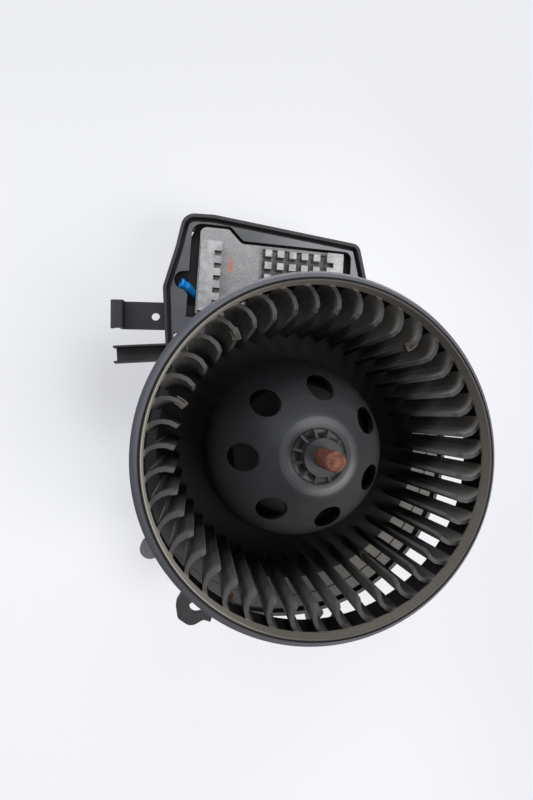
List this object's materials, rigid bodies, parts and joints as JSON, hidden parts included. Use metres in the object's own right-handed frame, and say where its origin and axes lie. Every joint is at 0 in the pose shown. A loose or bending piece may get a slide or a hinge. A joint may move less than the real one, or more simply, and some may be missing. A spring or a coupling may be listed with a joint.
{
  "type": "car cabin blower motor",
  "caption": "Squirrel-cage blower wheel on a brushed motor, set in a round flange with a finned speed regulator beside it.",
  "frame": {"origin": "on the wheel's axis, in the plane of the top of the flange's edge wall, where the heater case seats", "axes": "+Z along the wheel's axis, out of the wheel's inlet; +Y towards the speed regulator; +X to the right, seen from the inlet with the regulator at the top"},
  "size_m": [0.2028, 0.2524, 0.159],
  "materials": {
    "wheel_plastic": "satin grey-black moulding, dusty",
    "flange_plastic": "matt black moulding, dusty",
    "cast_aluminium": "as cast, dull",
    "can_steel": "zinc plated",
    "rusty_steel": "rusty",
    "core_steel": "laminated",
    "winding_wire": "enamelled copper",
    "copper_bars": "turned",
    "sintered_bronze": "sintered",
    "ferrite": "ground ceramic",
    "card_plastic": "phenolic",
    "carbon": "carbon",
    "holder_brass": "stamped",
    "mount_rubber": "matt",
    "tinned_brass": "tinned",
    "board_laminate": "laminate",
    "chip_plastic": "moulded",
    "screw_steel": "zinc plated",
    "blue_sleeve": "soft sleeve",
    "clip_steel": "spring steel, a little rusty"
  },
  "bodies": {
    "housing": {"mounting_flange": "flange_plastic", "heat_sink": "cast_aluminium", "motor_can": "can_steel", "upper_bearing": "sintered_bronze", "upper_retainer": "can_steel", "end_plate": "can_steel", "lower_bearing": "sintered_bronze", "magnet_left": "ferrite", "magnet_right": "ferrite", "brush_card": "card_plastic", "brush_left": "carbon", "brush_right": "carbon", "brush_holder_left": "holder_brass", "brush_holder_right": "holder_brass", "isolator_upper": "mount_rubber", "isolator_lower": "mount_rubber", "motor_cover": "flange_plastic", "regulator_housing": "flange_plastic", "socket_terminals": "tinned_brass", "regulator_board": "board_laminate", "transistor_left": "chip_plastic", "transistor_right": "chip_plastic", "fuse_strip": "tinned_brass", "regulator_screws": "screw_steel", "terminal_sleeve": "blue_sleeve", "lead_terminal": "tinned_brass"},
    "rotor": {"impeller": "wheel_plastic", "balance_clips": "clip_steel", "motor_shaft": "rusty_steel", "armature_core": "core_steel", "winding_head_upper": "winding_wire", "winding_head_lower": "winding_wire", "commutator": "copper_bars"}
  },
  "joints": [
    {"name": "wheel_spin", "type": "hinge", "parent": "housing", "child": "rotor", "pos_m": [0, 0, 0], "axis": [0, 0, 1], "continuous": true}
  ]
}
